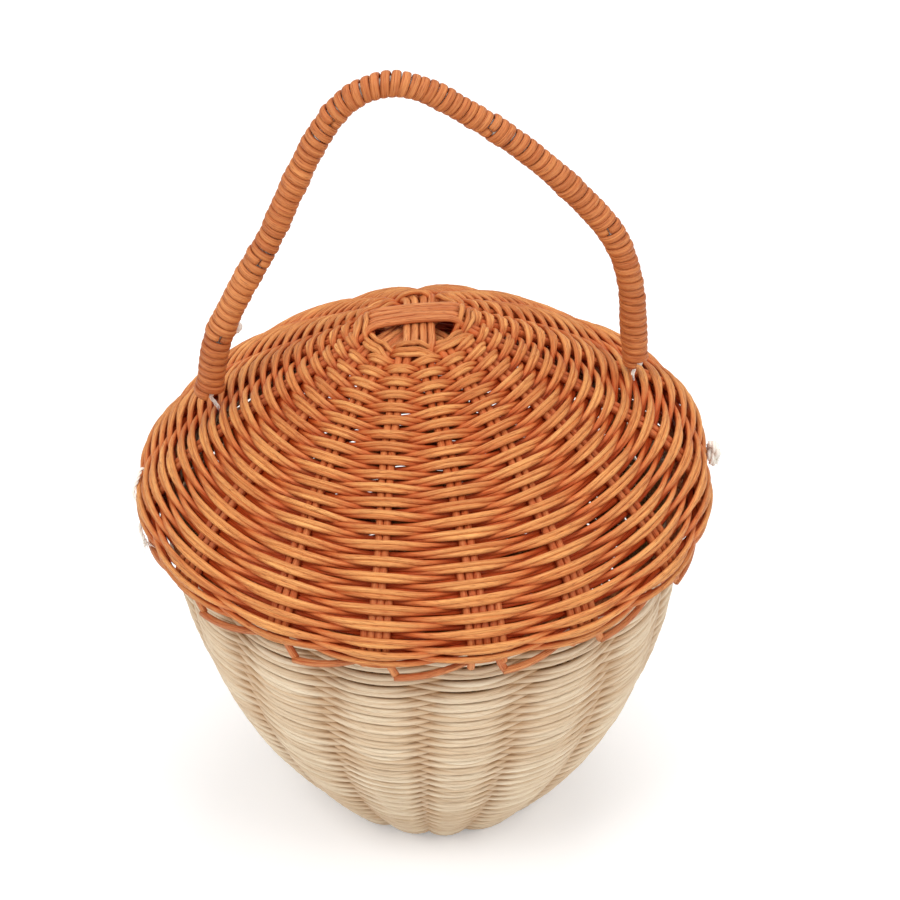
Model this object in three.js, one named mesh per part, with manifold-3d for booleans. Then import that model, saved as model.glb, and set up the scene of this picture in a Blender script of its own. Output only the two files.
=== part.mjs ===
// Mushroom-shaped wicker basket: a natural bowl, a dyed domed lid and a cane-wound handle.
// Millimetres, +Z up. The origin is on the floor, under the middle of the lid and the mouth.
import * as THREE from 'three';
import { mergeGeometries, mergeVertices } from 'three/addons/utils/BufferGeometryUtils.js';
import Module from 'manifold-3d';

// Reeds and weave
const reedWidth = 5.2; // two stake reeds lying side by side
const reedThickness = 2.2;
const extraReedWidth = 2.6; // the single reed slipped in beside each pair
const extraReedGap = 0.9;
const extraReedSetBack = 0.8;
const weaveThickness = 2.4;
const stakeClearance = 0.65; // more room behind the wall, which draws in beside each stake
const flutingShare = 0.021; // how far the wall draws in between stakes, as a share of its radius
const pairCount = 16; // stake pairs round the wall
const fit = 0.3; // gap between pieces that touch

// Crossing of the four spoke bundles, in the middle of the crown and of the base
const layerPitch = 2.55;
const crossFlat = 12; // the bundles lie stacked out to here
const crossEnd = 21; // and have come down to one level here
const crossHole = 22.4; // the weave starts here
const crossFirstRow = 18; // and its first row is drawn tight to here

// Body
const mouthRadius = 97.5;
const bodyHeight = 137;
const footRadius = 46.8;
const bodySwell = 2.2; // higher keeps the wall upright for longer before it draws in
const bodyLean = 5.5; // the foot stands this far to the right of the mouth
const baseHollow = 8; // the base is pushed up this far in the middle
const baseRingInner = 36;
const bodyBandHeight = 66; // the lower weave ends here
const bodyStakeDrift = [{ centre: 296, halfWidth: 45, turn: -10 }]; // degrees off their even places at the foot, in one arc
const bodyDriftStart = 22; // they stand even inside this radius
const bodyDriftEnd = 44;
const bodyBorderHeight = 4.7;
const bodyBorderWidth = 8;
const bodyBorderOverhang = 3;

// Lid, which overhangs the body's border and stands on it
const lidOverhang = 9.5; // from the border's outer face out to the lid's widest place
const lidWideLift = 3.7; // from the bottom of its seat ring up to its widest place
const lidRise = 60.6;
const lidFullness = 1.45; // 2 is an ellipse, 1 a cone
const crownRaise = 7.2; // the first rows are pushed up by the crossing
const crownRaiseRadius = 26;
const crownCamber = 1; // rise of the crossing inside the first row
const lidWallDrop = 6.2; // from its widest place down to its edge
const lidTurnIn = 1.6; // and inward
const domeTilt = 0.11; // the dome stands higher on its right side
const crownOffset = new THREE.Vector2(-3.8, 13.2); // the crown is off the middle, to the left and back
const trueRimWidth = 3; // the lid is round and level this far in from its widest place
const lidStakeDrift = [{ centre: 233, halfWidth: 50, turn: 4.3 }, { centre: 306, halfWidth: 28, turn: -2 }]; // and at the lid's edge, in two arcs
const lidDriftStart = 30;
const lidDriftEnd = 90;
const crownBandRadius = 42;
const sideBandWidth = 14; // the side weave starts this far in from the widest place
const lidBorderHeight = 3.2;
const seatRingWidth = 8;
const seatRingHeight = 4;
const foldDrop = 3; // a folded stake reaches this far below the border
const foldedEndLength = 27; // and then runs this far along the edge, rising behind the border

// Handle
const leftFootRadius = 75;
const leftFootAngle = 181.2;
const rightFootRadius = 78.3;
const rightFootAngle = 8.9;
const handleRouteSpan = 159.4; // the arch below is drawn for feet this far apart
const footClearance = 0.7; // between a wound foot and the dome as the handle swings
const coreRadius = 3.5;
const caneThickness = 1.2;
const wrapMargin = 1.3; // the wrapping stops this far from each end of the handle's line
const caneGap = 0.47;
const caneTurns = [8, 11, 19, 20, 19, 19]; // the wrapping is made of six lengths of cane
const caneJoinTurn = 0.16; // part of a turn left bare where one length ends and the next starts
const caneSteps = 8;

// Cotton cord
const cordRadius = 1.2;
const cordClearance = 0.5;
const leftHoleOffset = 2.5; // each cord goes in this far outside its foot
const rightHoleOffset = 2.7;
const leftExitLift = 6; // and comes out this far above the lid's widest place
const rightExitLift = 2.8;
const knotRadius = 3.2;
const knotDepth = 1.6;

const naturalReed = new THREE.MeshStandardMaterial({ color: 0xe2cdaa, roughness: 0.72, metalness: 0 });
const dyedReed = new THREE.MeshStandardMaterial({ color: 0xd47a3a, roughness: 0.6, metalness: 0 });
const dyedCane = new THREE.MeshStandardMaterial({ color: 0xd88444, roughness: 0.5, metalness: 0 });
const cotton = new THREE.MeshStandardMaterial({ color: 0xf0ebe1, roughness: 0.95, metalness: 0 });

const up = new THREE.Vector3(0, 0, 1);
const stakeStep = (2 * Math.PI) / pairCount;
const reedDepth = weaveThickness + stakeClearance + fit + reedThickness / 2;
const extraReedDepth = reedDepth + extraReedSetBack;
const bodyBorderOuter = mouthRadius + bodyBorderOverhang;
const bodyBorderTop = bodyHeight + fit + bodyBorderHeight;
const seatRingBottom = bodyBorderTop + fit;
const lidRadius = bodyBorderOuter + lidOverhang;
const lidWideHeight = seatRingBottom + lidWideLift;
const lidEdgeRadius = lidRadius - lidTurnIn;
const lidEdgeHeight = lidWideHeight - lidWallDrop;
const trueRadius = lidRadius - trueRimWidth;
const domeBandRadius = lidRadius - sideBandWidth;

const wasm = await Module();
wasm.setup();

const basket = new THREE.Group();

function addMesh(name, geometry, material) {
  const mesh = new THREE.Mesh(geometry, material);
  mesh.name = name;
  basket.add(mesh);
  return mesh;
}

// Merges shared vertices and turns the faces outward
function closedSolid(geometry) {
  geometry.deleteAttribute('normal');
  geometry.deleteAttribute('uv');
  const merged = mergeVertices(geometry, 1e-4);
  const position = merged.attributes.position;
  const index = merged.index.array;
  const a = new THREE.Vector3();
  const b = new THREE.Vector3();
  const c = new THREE.Vector3();
  let volume = 0;
  for (let i = 0; i < index.length; i += 3) {
    a.fromBufferAttribute(position, index[i]);
    b.fromBufferAttribute(position, index[i + 1]);
    c.fromBufferAttribute(position, index[i + 2]);
    volume += a.dot(b.cross(c));
  }
  if (volume < 0) {
    for (let i = 0; i < index.length; i += 3) {
      [index[i + 1], index[i + 2]] = [index[i + 2], index[i + 1]];
    }
  }
  merged.computeVertexNormals();
  return merged;
}

// Joins cross-sections, each a ring of points, into one closed tube
function loft(sections) {
  const sides = sections[0].length;
  const vertices = sections.flat().flatMap((p) => [p.x, p.y, p.z]);
  const index = [];
  for (let i = 0; i < sections.length - 1; i += 1) {
    for (let j = 0; j < sides; j += 1) {
      const a = i * sides + j;
      const b = i * sides + ((j + 1) % sides);
      index.push(a, b, b + sides, a, b + sides, a + sides);
    }
  }
  const last = (sections.length - 1) * sides;
  for (let j = 1; j < sides - 1; j += 1) {
    index.push(0, j + 1, j, last, last + j, last + j + 1);
  }
  const geometry = new THREE.BufferGeometry();
  geometry.setAttribute('position', new THREE.Float32BufferAttribute(vertices, 3));
  geometry.setIndex(index);
  return closedSolid(geometry);
}

// A flat strip's cross-section: width along side, thickness along normal
function flatSection(centre, side, normal, width, thickness) {
  const corners = [[-1, -1], [1, -1], [1, 1], [-1, 1]];
  return corners.map(([across, out]) => centre.clone()
    .addScaledVector(side, (across * width) / 2)
    .addScaledVector(normal, (out * thickness) / 2));
}

// A flat strip along a bent line, mitred at each bend. Faces holds the outward direction at each point.
function mitredStrip(points, faces, width, thickness) {
  const sections = points.map((point, i) => {
    const next = points[Math.min(i + 1, points.length - 1)].clone();
    const last = points[Math.max(i - 1, 0)].clone();
    const leaving = next.sub(point).normalize();
    const arriving = point.clone().sub(last).normalize();
    const tangent = arriving.clone().add(leaving).normalize();
    const stretch = arriving.length() > 0 && leaving.length() > 0 ? 1 / tangent.dot(arriving) : 1;
    const side = faces[i].clone().cross(tangent).normalize();
    return flatSection(point, side, tangent.clone().cross(side).normalize(), width * stretch, thickness);
  });
  return loft(sections);
}

function toManifold(geometry) {
  return new wasm.Manifold(new wasm.Mesh({
    numProp: 3,
    vertProperties: new Float32Array(geometry.attributes.position.array),
    triVerts: new Uint32Array(geometry.index.array),
  }));
}

function fromManifold(solid) {
  const mesh = solid.getMesh();
  const geometry = new THREE.BufferGeometry();
  geometry.setAttribute('position', new THREE.BufferAttribute(mesh.vertProperties, 3));
  geometry.setIndex(new THREE.BufferAttribute(mesh.triVerts, 1));
  geometry.computeVertexNormals();
  return geometry;
}

// A cord's way through the weave, as a round hole along direction
function cutCordHole(geometry, centre, direction) {
  const drill = new THREE.CylinderGeometry(cordRadius + cordClearance, cordRadius + cordClearance, 24, 10);
  drill.applyQuaternion(new THREE.Quaternion().setFromUnitVectors(new THREE.Vector3(0, 1, 0), direction));
  drill.translate(centre.x, centre.y, centre.z);
  return fromManifold(toManifold(geometry).subtract(toManifold(closedSolid(drill))));
}

// Outlines run from the middle outward, as points of radius and height on the outer face
class BodyOutline extends THREE.Curve {
  getPoint(t, target = new THREE.Vector2()) {
    const hollowShare = 0.16;
    const ringShare = 0.2;
    if (t < hollowShare) {
      const share = t / hollowShare;
      return target.set(baseRingInner * share, baseHollow * (1 - share * share));
    }
    if (t < ringShare) {
      const share = (t - hollowShare) / (ringShare - hollowShare);
      return target.set(THREE.MathUtils.lerp(baseRingInner, footRadius, share), 0);
    }
    const rise = (t - ringShare) / (1 - ringShare);
    const drawIn = (1 - footRadius / mouthRadius) * (1 - rise) ** bodySwell;
    return target.set(mouthRadius * (1 - drawIn), bodyHeight * rise);
  }
}

class LidOutline extends THREE.Curve {
  getPoint(t, target = new THREE.Vector2()) {
    const domeShare = 0.9;
    if (t < domeShare) {
      const angle = (Math.PI / 2) * (1 - t / domeShare);
      const radius = lidRadius * Math.cos(angle) ** (2 / lidFullness);
      const woven = Math.max(radius, crossFirstRow);
      const camber = crownCamber * (1 - (radius / woven) ** 2);
      const dome = lidRise * (1 - (woven / lidRadius) ** lidFullness) ** (1 / lidFullness);
      const raise = crownRaise * Math.exp(-((woven / crownRaiseRadius) ** 2));
      return target.set(radius, lidWideHeight + dome + raise + camber);
    }
    const drop = (t - domeShare) / (1 - domeShare);
    const turnIn = (lidRadius - lidEdgeRadius) * drop * drop;
    return target.set(lidRadius - turnIn, THREE.MathUtils.lerp(lidWideHeight, lidEdgeHeight, drop));
  }
}

// Measures an outline by the distance along it, and by radius or height
class Wall {
  constructor(curve, inward) {
    curve.arcLengthDivisions = 800;
    this.curve = curve;
    this.inward = inward; // +1 where the inside is to the left of the outline's direction
    this.length = curve.getLength();
  }

  at(distance, depth = 0) {
    const u = THREE.MathUtils.clamp(distance / this.length, 0, 1);
    const point = this.curve.getPointAt(u);
    const tangent = this.curve.getTangentAt(u);
    return point.add(new THREE.Vector2(-tangent.y, tangent.x).multiplyScalar(this.inward * depth));
  }

  distanceWhere(test) {
    let low = 0;
    let high = this.length;
    for (let i = 0; i < 40; i += 1) {
      const middle = (low + high) / 2;
      if (test(this.at(middle))) high = middle;
      else low = middle;
    }
    return high;
  }
}

const bodyWall = new Wall(new BodyOutline(), 1);
const lidWall = new Wall(new LidOutline(), -1);

// Stakes set by hand crowd together in some arcs of the wall
function crowdStakes(point, arcs, start, end, share) {
  const angle = THREE.MathUtils.radToDeg(Math.atan2(point.y, point.x));
  const turn = arcs.reduce((sum, arc) => {
    const away = Math.abs(((angle - arc.centre + 540) % 360) - 180);
    return away < arc.halfWidth ? sum + arc.turn * Math.cos((Math.PI / 2) * (away / arc.halfWidth)) ** 2 : sum;
  }, 0);
  const grown = THREE.MathUtils.smoothstep(Math.hypot(point.x, point.y), start, end);
  return point.applyAxisAngle(up, THREE.MathUtils.degToRad(turn * grown * share));
}

// The body leans: its foot is off to the right of its mouth
function leanBody(point) {
  crowdStakes(point, bodyStakeDrift, bodyDriftStart, bodyDriftEnd, Math.max(0, 1 - point.z / bodyHeight));
  point.x += bodyLean * (1 - point.z / bodyHeight);
  return point;
}

// The lid is made by hand: its crown is off the middle and its dome higher on one side
function leanLid(point) {
  crowdStakes(point, lidStakeDrift, lidDriftStart, lidDriftEnd, 1);
  const share = Math.max(0, 1 - (point.x ** 2 + point.y ** 2) / trueRadius ** 2) ** 1.2;
  point.x += crownOffset.x * share;
  point.y += crownOffset.y * share;
  point.z += domeTilt * point.x * share;
  return point;
}

function moveVertices(geometry, move) {
  const position = geometry.attributes.position;
  const point = new THREE.Vector3();
  for (let i = 0; i < position.count; i += 1) {
    move(point.fromBufferAttribute(position, i));
    position.setXYZ(i, point.x, point.y, point.z);
  }
  return geometry;
}

// Wall strips draw in between the stakes, as weaving does
function flute(point) {
  const angle = Math.atan2(point.y, point.x);
  const drawIn = 1 - (flutingShare * (1 + Math.cos(pairCount * angle))) / 2;
  point.x *= drawIn;
  point.y *= drawIn;
  return point;
}

function turned(profile, fluted, place) {
  const closed = [...profile, profile[0]];
  const geometry = new THREE.LatheGeometry(closed, 2 * pairCount).rotateX(Math.PI / 2);
  return moveVertices(closedSolid(geometry), (point) => place(fluted ? flute(point) : point));
}

function weaveBand(wall, start, end, steps, place) {
  const outer = [];
  const inner = [];
  for (let i = 0; i <= steps; i += 1) {
    const distance = THREE.MathUtils.lerp(start, end, i / steps);
    outer.push(wall.at(distance));
    inner.unshift(wall.at(distance, weaveThickness));
  }
  return turned([...outer, ...inner], true, place);
}

// A coiled border: a round-edged ring from inner to outer radius
function borderRing(inner, outer, bottom, top, place) {
  const middle = (bottom + top) / 2;
  const edge = Math.min(1.2, (outer - inner) / 3);
  const profile = [
    [inner, middle], [inner + edge, bottom], [outer - edge, bottom],
    [outer, middle], [outer - edge, top], [inner + edge, top],
  ].map(([radius, height]) => new THREE.Vector2(radius, height));
  return turned(profile, false, place);
}

// Height of a bundle above its low level, where it crosses the others
function crossLift(radius) {
  const share = THREE.MathUtils.clamp((radius - crossFlat) / (crossEnd - crossFlat), 0, 1);
  return (1 + Math.cos(Math.PI * share)) / 2;
}

// One pair of reeds from rim to rim: up the wall, through the crossing and up the other side.
// outward is +1 where the bundles stack upward, as on the crown, and -1 under the base.
function spokePair(wall, stations, bundleAngle, side, level, outward, place) {
  const pairOffset = (reedWidth + fit) / 2;
  const forward = new THREE.Vector3(Math.cos(bundleAngle), Math.sin(bundleAngle), 0);
  const across = new THREE.Vector3(-forward.y, forward.x, 0);
  const centres = [];
  const sides = [];
  const addStation = (distance, direction) => {
    const point = wall.at(distance, reedDepth);
    const lift = outward * level * layerPitch * crossLift(point.x);
    if (point.x < crossFlat + 2) {
      centres.push(forward.clone().multiplyScalar(direction * point.x)
        .addScaledVector(across, side * pairOffset).addScaledVector(up, point.y + lift));
      sides.push(across.clone());
      return;
    }
    const angle = direction * side * (stakeStep / 2);
    const radial = forward.clone().applyAxisAngle(up, angle).multiplyScalar(direction);
    centres.push(radial.clone().multiplyScalar(point.x).addScaledVector(up, point.y + lift));
    sides.push(new THREE.Vector3(-radial.y, radial.x, 0).multiplyScalar(direction));
  };
  for (const distance of [...stations].reverse()) addStation(distance, 1);
  addStation(0.001, 1);
  for (const distance of stations) addStation(distance, -1);
  const sections = centres.map((centre, i) => {
    const before = centres[Math.max(0, i - 1)];
    const after = centres[Math.min(centres.length - 1, i + 1)];
    const tangent = after.clone().sub(before).normalize();
    const normal = tangent.cross(sides[i]).normalize();
    return flatSection(centre, sides[i], normal, reedWidth, reedThickness);
  });
  return moveVertices(loft(sections), place);
}

function spokeStations(wall, wallStart, wallEnd, count, skip = null) {
  const stations = [6, crossFlat, 14.3, 16.5, 18.8, crossEnd];
  for (let i = 0; i <= count; i += 1) {
    const distance = THREE.MathUtils.lerp(wallStart, wallEnd, i / count);
    if (!skip || distance < skip[0] || distance > skip[1]) stations.push(distance);
  }
  return stations;
}

// Body: base, two bands of side weave, eight spoke pairs and the border
const footDistance = bodyWall.distanceWhere((p) => p.x > footRadius - 0.01);
const bandDistance = bodyWall.distanceWhere((p) => p.x > footRadius && p.y > bodyBandHeight);
const baseStart = bodyWall.distanceWhere((p) => p.x > crossHole);
const baseEdge = footDistance - weaveThickness;
addMesh('base_weave', weaveBand(bodyWall, baseStart, baseEdge, 5, leanBody), naturalReed);
addMesh('body_lower_weave', weaveBand(bodyWall, footDistance, bandDistance - fit, 5, leanBody), naturalReed);
addMesh('body_upper_weave', weaveBand(bodyWall, bandDistance, bodyWall.length, 4, leanBody), naturalReed);
const bodyBorder = borderRing(bodyBorderOuter - bodyBorderWidth, bodyBorderOuter, bodyHeight + fit, bodyBorderTop, leanBody);
addMesh('body_border', bodyBorder, naturalReed);

const bundles = [
  { name: 'across', angle: 0, level: 1.5 },
  { name: 'along', angle: Math.PI / 2, level: 0.5 },
  { name: 'diagonal_a', angle: Math.PI / 4, level: -0.5 },
  { name: 'diagonal_b', angle: (3 * Math.PI) / 4, level: -1.5 },
];
const pairSides = [{ name: 'left', side: 1 }, { name: 'right', side: -1 }];
const footCorner = [footDistance - 2 * reedThickness, footDistance + 2 * reedThickness];
const bodyStations = spokeStations(bodyWall, baseStart + 3, bodyWall.length, 12, footCorner);
for (const bundle of bundles) {
  for (const pair of pairSides) {
    const geometry = spokePair(bodyWall, bodyStations, bundle.angle, pair.side, bundle.level, -1, leanBody);
    addMesh(`body_spokes_${bundle.name}_${pair.name}`, geometry, naturalReed);
  }
}

// Lid: crown, dome and side bands of weave, eight spoke pairs, extra stakes, border and seat ring
const crownStart = lidWall.distanceWhere((p) => p.x > crossHole);
const crownEnd = lidWall.distanceWhere((p) => p.x > crownBandRadius);
const domeEnd = lidWall.distanceWhere((p) => p.x > domeBandRadius);
const lidStations = spokeStations(lidWall, crownStart + 3, lidWall.length, 9);
const crownWeave = weaveBand(lidWall, crownStart, crownEnd - fit, 3, leanLid);
const domeWeave = weaveBand(lidWall, crownEnd, domeEnd - fit, 5, leanLid);
const sideWeave = weaveBand(lidWall, domeEnd, lidWall.length, 5, leanLid);
for (const bundle of bundles) {
  for (const pair of pairSides) {
    const geometry = spokePair(lidWall, lidStations, bundle.angle, pair.side, bundle.level, 1, leanLid);
    addMesh(`lid_spokes_${bundle.name}_${pair.name}`, geometry, dyedReed);
  }
}

// Border reed at the lid's edge, outside the stakes that pass down behind it
const facetSag = lidEdgeRadius * (1 - Math.cos(stakeStep / 4));
const borderInner = lidEdgeRadius - reedDepth + reedThickness / 2 + facetSag + fit;
const lidBorderTop = lidEdgeHeight - fit;
const lidBorderBottom = lidBorderTop - lidBorderHeight;
addMesh('lid_border', borderRing(borderInner, lidEdgeRadius, lidBorderBottom, lidBorderTop, leanLid), dyedReed);

// A single reed stands beside each pair. It passes behind the border, folds and runs along the edge.
for (let i = 0; i < pairCount; i += 1) {
  const points = [];
  const faces = [];
  const addPoint = (angle, radius, height, outward, rise) => {
    points.push(leanLid(new THREE.Vector3(Math.cos(angle) * radius, Math.sin(angle) * radius, height)));
    faces.push(new THREE.Vector3(Math.cos(angle) * outward, Math.sin(angle) * outward, rise));
  };
  const angleAt = (radius) => (i + 0.5) * stakeStep + ((reedWidth + extraReedWidth) / 2 + extraReedGap) / radius;
  const wallSteps = 4;
  for (let j = 0; j <= wallSteps; j += 1) {
    const distance = THREE.MathUtils.lerp(domeEnd + 2, lidWall.length, j / wallSteps);
    const point = lidWall.at(distance, extraReedDepth);
    const face = lidWall.at(distance).sub(point).normalize();
    addPoint(angleAt(point.x), point.x, point.y, face.x, face.y);
  }
  const edgeRadius = lidWall.at(lidWall.length, extraReedDepth).x;
  const foldAngle = angleAt(edgeRadius);
  const foldHeight = lidBorderBottom - foldDrop + extraReedWidth / 2;
  const endHeight = lidBorderTop - extraReedWidth / 2 - fit;
  const runSteps = 3;
  for (let j = 0; j <= runSteps; j += 1) {
    const angle = foldAngle + (foldedEndLength / edgeRadius) * (j / runSteps);
    addPoint(angle, edgeRadius, THREE.MathUtils.lerp(foldHeight, endHeight, j / runSteps), 1, 0);
  }
  const number = String(i + 1).padStart(2, '0');
  addMesh(`lid_folded_stake_${number}`, mitredStrip(points, faces, extraReedWidth, reedThickness), dyedReed);
}

// The seat ring, made of stake ends turned inside, rests on the body's border
const stakeInside = leanLid(new THREE.Vector3(0, -lidWall.at(lidWall.length, extraReedDepth + reedThickness / 2).x, 0));
const seatRingOuter = stakeInside.length() - fit;
const seatRing = borderRing(seatRingOuter - seatRingWidth, seatRingOuter, seatRingBottom, seatRingBottom + seatRingHeight, (p) => p);
addMesh('lid_seat_ring', seatRing, dyedReed);

// A point on the lid, or off it by standoff, at an angle and either a radius or a height
function onLid(degrees, distance, standoff) {
  const angle = THREE.MathUtils.degToRad(degrees);
  const point = lidWall.at(distance, -standoff);
  return leanLid(new THREE.Vector3(point.x * Math.cos(angle), point.x * Math.sin(angle), point.y));
}

function onDome(degrees, radius, standoff) {
  return onLid(degrees, lidWall.distanceWhere((p) => p.x > radius), standoff);
}

function onSide(degrees, height, standoff) {
  return onLid(degrees, lidWall.distanceWhere((p) => p.x > domeBandRadius && p.y < height), standoff);
}

// Handle: a cotton core bent to a lopsided arch, in the upright plane through both feet
const caneRadius = coreRadius + cordClearance + 0.2 + caneThickness / 2;
const footStandoff = caneRadius + caneThickness / 2 + footClearance;
const leftFoot = onDome(leftFootAngle, leftFootRadius, footStandoff);
const rightFoot = onDome(rightFootAngle, rightFootRadius, footStandoff);
const feetLine = rightFoot.clone().sub(leftFoot);
const feetMiddle = leftFoot.clone().add(rightFoot).multiplyScalar(0.5);
const alongFeet = new THREE.Vector3(feetLine.x, feetLine.y, 0).normalize();
const handleNormal = alongFeet.clone().cross(up).normalize();
const spanShare = Math.hypot(feetLine.x, feetLine.y) / handleRouteSpan;
const handleRoute = [
  [-75.6, 57], [-66.2, 78], [-55.2, 98], [-45.2, 120.5], [-35.2, 140], [-24.8, 152.2], [-11.8, 156.8],
  [0.2, 154], [14.2, 145.5], [33.7, 131.4], [54.2, 111.8], [69.7, 92], [76.2, 73], [78, 57],
].map(([along, height]) => new THREE.Vector3(feetMiddle.x, feetMiddle.y, lidWideHeight + height)
  .addScaledVector(alongFeet, along * spanShare));
const handleCurve = new THREE.CatmullRomCurve3([leftFoot, ...handleRoute, rightFoot], false, 'centripetal');
handleCurve.arcLengthDivisions = 1200;
const handleLength = handleCurve.getLength();

function handleFrame(distance) {
  const u = THREE.MathUtils.clamp(distance / handleLength, 0, 1);
  const tangent = handleCurve.getTangentAt(u);
  const inPlane = handleNormal.clone().cross(tangent).normalize();
  return { centre: handleCurve.getPointAt(u), tangent, inPlane };
}

const coreSections = [];
const coreStations = 36;
const roundedEnd = [[-0.94, 0.34], [-0.7, 0.72], [0, 1]];
const addCoreSection = (distance, beyond, radius) => {
  const frame = handleFrame(distance);
  const centre = frame.centre.addScaledVector(frame.tangent, beyond);
  const ring = [];
  for (let j = 0; j < 8; j += 1) {
    const angle = (j * Math.PI) / 4;
    ring.push(centre.clone().addScaledVector(handleNormal, radius * Math.cos(angle))
      .addScaledVector(frame.inPlane, radius * Math.sin(angle)));
  }
  coreSections.push(ring);
};
for (const [along, share] of roundedEnd) addCoreSection(0, along * coreRadius, share * coreRadius);
for (let i = 1; i < coreStations; i += 1) addCoreSection((i * handleLength) / coreStations, 0, coreRadius);
for (const [along, share] of [...roundedEnd].reverse()) addCoreSection(handleLength, -along * coreRadius, share * coreRadius);
addMesh('handle_core', loft(coreSections), cotton);

// Cane wound flat round the core. Turns close up on the inside of a bend and open on the outside.
const canePitch = (handleLength - 2 * wrapMargin) / caneTurns.reduce((sum, turns) => sum + turns, 0);

function canePoint(turn, depth) {
  const frame = handleFrame(wrapMargin + turn * canePitch);
  const angle = turn * 2 * Math.PI;
  const radial = handleNormal.clone().multiplyScalar(Math.cos(angle)).addScaledVector(frame.inPlane, Math.sin(angle));
  const centre = frame.centre.addScaledVector(radial, caneRadius + depth);
  return { centre, radial, tangent: frame.tangent };
}

function caneWidth(turn) {
  const spacings = [-1, 1].flatMap((step) => [-0.5, 0.5].map((share) => {
    const here = canePoint(turn, share * caneThickness).centre;
    return here.distanceTo(canePoint(turn + step, share * caneThickness).centre);
  }));
  return Math.min(...spacings) - caneGap;
}

let turnsDone = 0;
caneTurns.forEach((turns, lengthIndex) => {
  const sections = [];
  const first = turnsDone + caneJoinTurn / 2;
  const last = turnsDone + turns - caneJoinTurn / 2;
  const steps = Math.round((last - first) * caneSteps);
  for (let i = 0; i <= steps; i += 1) {
    const turn = THREE.MathUtils.lerp(first, last, i / steps);
    const { centre, radial, tangent } = canePoint(turn, 0);
    sections.push(flatSection(centre, tangent, radial, caneWidth(turn), caneThickness));
  }
  let leastGap = Infinity;
  for (let i = 0; i + caneSteps - 1 < sections.length; i += 1) {
    for (let j = i + caneSteps - 1; j <= Math.min(i + caneSteps + 1, sections.length - 1); j += 1) {
      for (const a of sections[i]) for (const b of sections[j]) leastGap = Math.min(leastGap, a.distanceTo(b));
    }
  }
  console.log(`handle_wrap_${lengthIndex + 1}: ${turns} turns, least gap between turns ${leastGap.toFixed(2)} mm`);
  addMesh(`handle_wrap_${lengthIndex + 1}`, loft(sections), dyedCane);
  turnsDone += turns;
});

// Cotton cords that tie the handle to the lid: from each foot down through the dome, along the
// inside of the wall and out through the side weave
function cordTube(points) {
  const path = new THREE.CatmullRomCurve3(points, false, 'centripetal');
  const section = new THREE.Shape();
  section.absarc(0, 0, cordRadius, 0, 2 * Math.PI, false);
  const options = { steps: 26, curveSegments: 3, extrudePath: path, bevelEnabled: false };
  return closedSolid(new THREE.ExtrudeGeometry(section, options));
}

// The right cord's end is knotted outside the wall, so the knot is part of the cord
function knot(centre) {
  const geometry = new THREE.SphereGeometry(knotRadius, 10, 7);
  const angle = Math.atan2(centre.y, centre.x);
  geometry.scale(knotDepth / knotRadius, 1, 1).rotateZ(angle).translate(centre.x, centre.y, centre.z);
  return closedSolid(geometry);
}

const footDrop = coreRadius + cordClearance;
const leftHole = onDome(181.4, leftFootRadius + leftHoleOffset, -1);
const rightHole = onDome(6.8, rightFootRadius + rightHoleOffset, -1);
const leftExit = onSide(183, lidWideHeight + leftExitLift, 0);
const rightExit = onSide(4, lidWideHeight + rightExitLift, 0);
const leftCordPoints = [
  leftFoot.clone().addScaledVector(up, -footDrop),
  leftFoot.clone().addScaledVector(up, -footDrop - 0.8),
  leftHole.clone(),
  leftHole.clone().add(new THREE.Vector3(-0.5, 0, -6)),
  new THREE.Vector3(27 - lidRadius, 2.5, lidWideHeight + 14),
  new THREE.Vector3(18 - lidRadius, -2.5, lidWideHeight + 8.5),
  leftExit.clone().multiply(new THREE.Vector3(0.93, 0.93, 1)),
  onSide(183.2, lidWideHeight + leftExitLift, 1.1),
  onSide(186.5, lidWideHeight + 3.4, 1.5),
  onSide(191.3, lidWideHeight - 0.4, 1.9),
  onSide(196, lidWideHeight - 5, 1.6),
];
const rightCordPoints = [
  rightFoot.clone().addScaledVector(up, -footDrop),
  rightFoot.clone().addScaledVector(up, -footDrop - 0.8),
  rightHole.clone(),
  rightHole.clone().add(new THREE.Vector3(0, -0.5, -6)),
  new THREE.Vector3(lidRadius - 28, 12, lidWideHeight + 15),
  new THREE.Vector3(lidRadius - 18, 8.5, lidWideHeight + 6),
  rightExit.clone().multiply(new THREE.Vector3(0.93, 0.93, 1)),
  rightExit.clone(),
];
const rightKnot = toManifold(knot(onSide(4, lidWideHeight + rightExitLift, knotDepth - 1)));
addMesh('left_tie_cord', cordTube(leftCordPoints), cotton);
addMesh('right_tie_cord', fromManifold(toManifold(cordTube(rightCordPoints)).add(rightKnot)), cotton);

const radialAt = (point) => new THREE.Vector3(point.x, point.y, 0).normalize();
addMesh('lid_crown_weave', crownWeave, dyedReed);
let piercedDome = cutCordHole(domeWeave, leftHole, leftFoot.clone().sub(leftHole).normalize());
piercedDome = cutCordHole(piercedDome, rightHole, rightFoot.clone().sub(rightHole).normalize());
console.log('handle feet', leftFoot.toArray().map((v) => v.toFixed(2)), rightFoot.toArray().map((v) => v.toFixed(2)));
addMesh('lid_dome_weave', piercedDome, dyedReed);
let piercedSide = cutCordHole(sideWeave, leftExit, radialAt(leftExit));
piercedSide = cutCordHole(piercedSide, rightExit, radialAt(rightExit));
addMesh('lid_side_weave', piercedSide, dyedReed);

export default basket;
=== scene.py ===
import math

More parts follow.
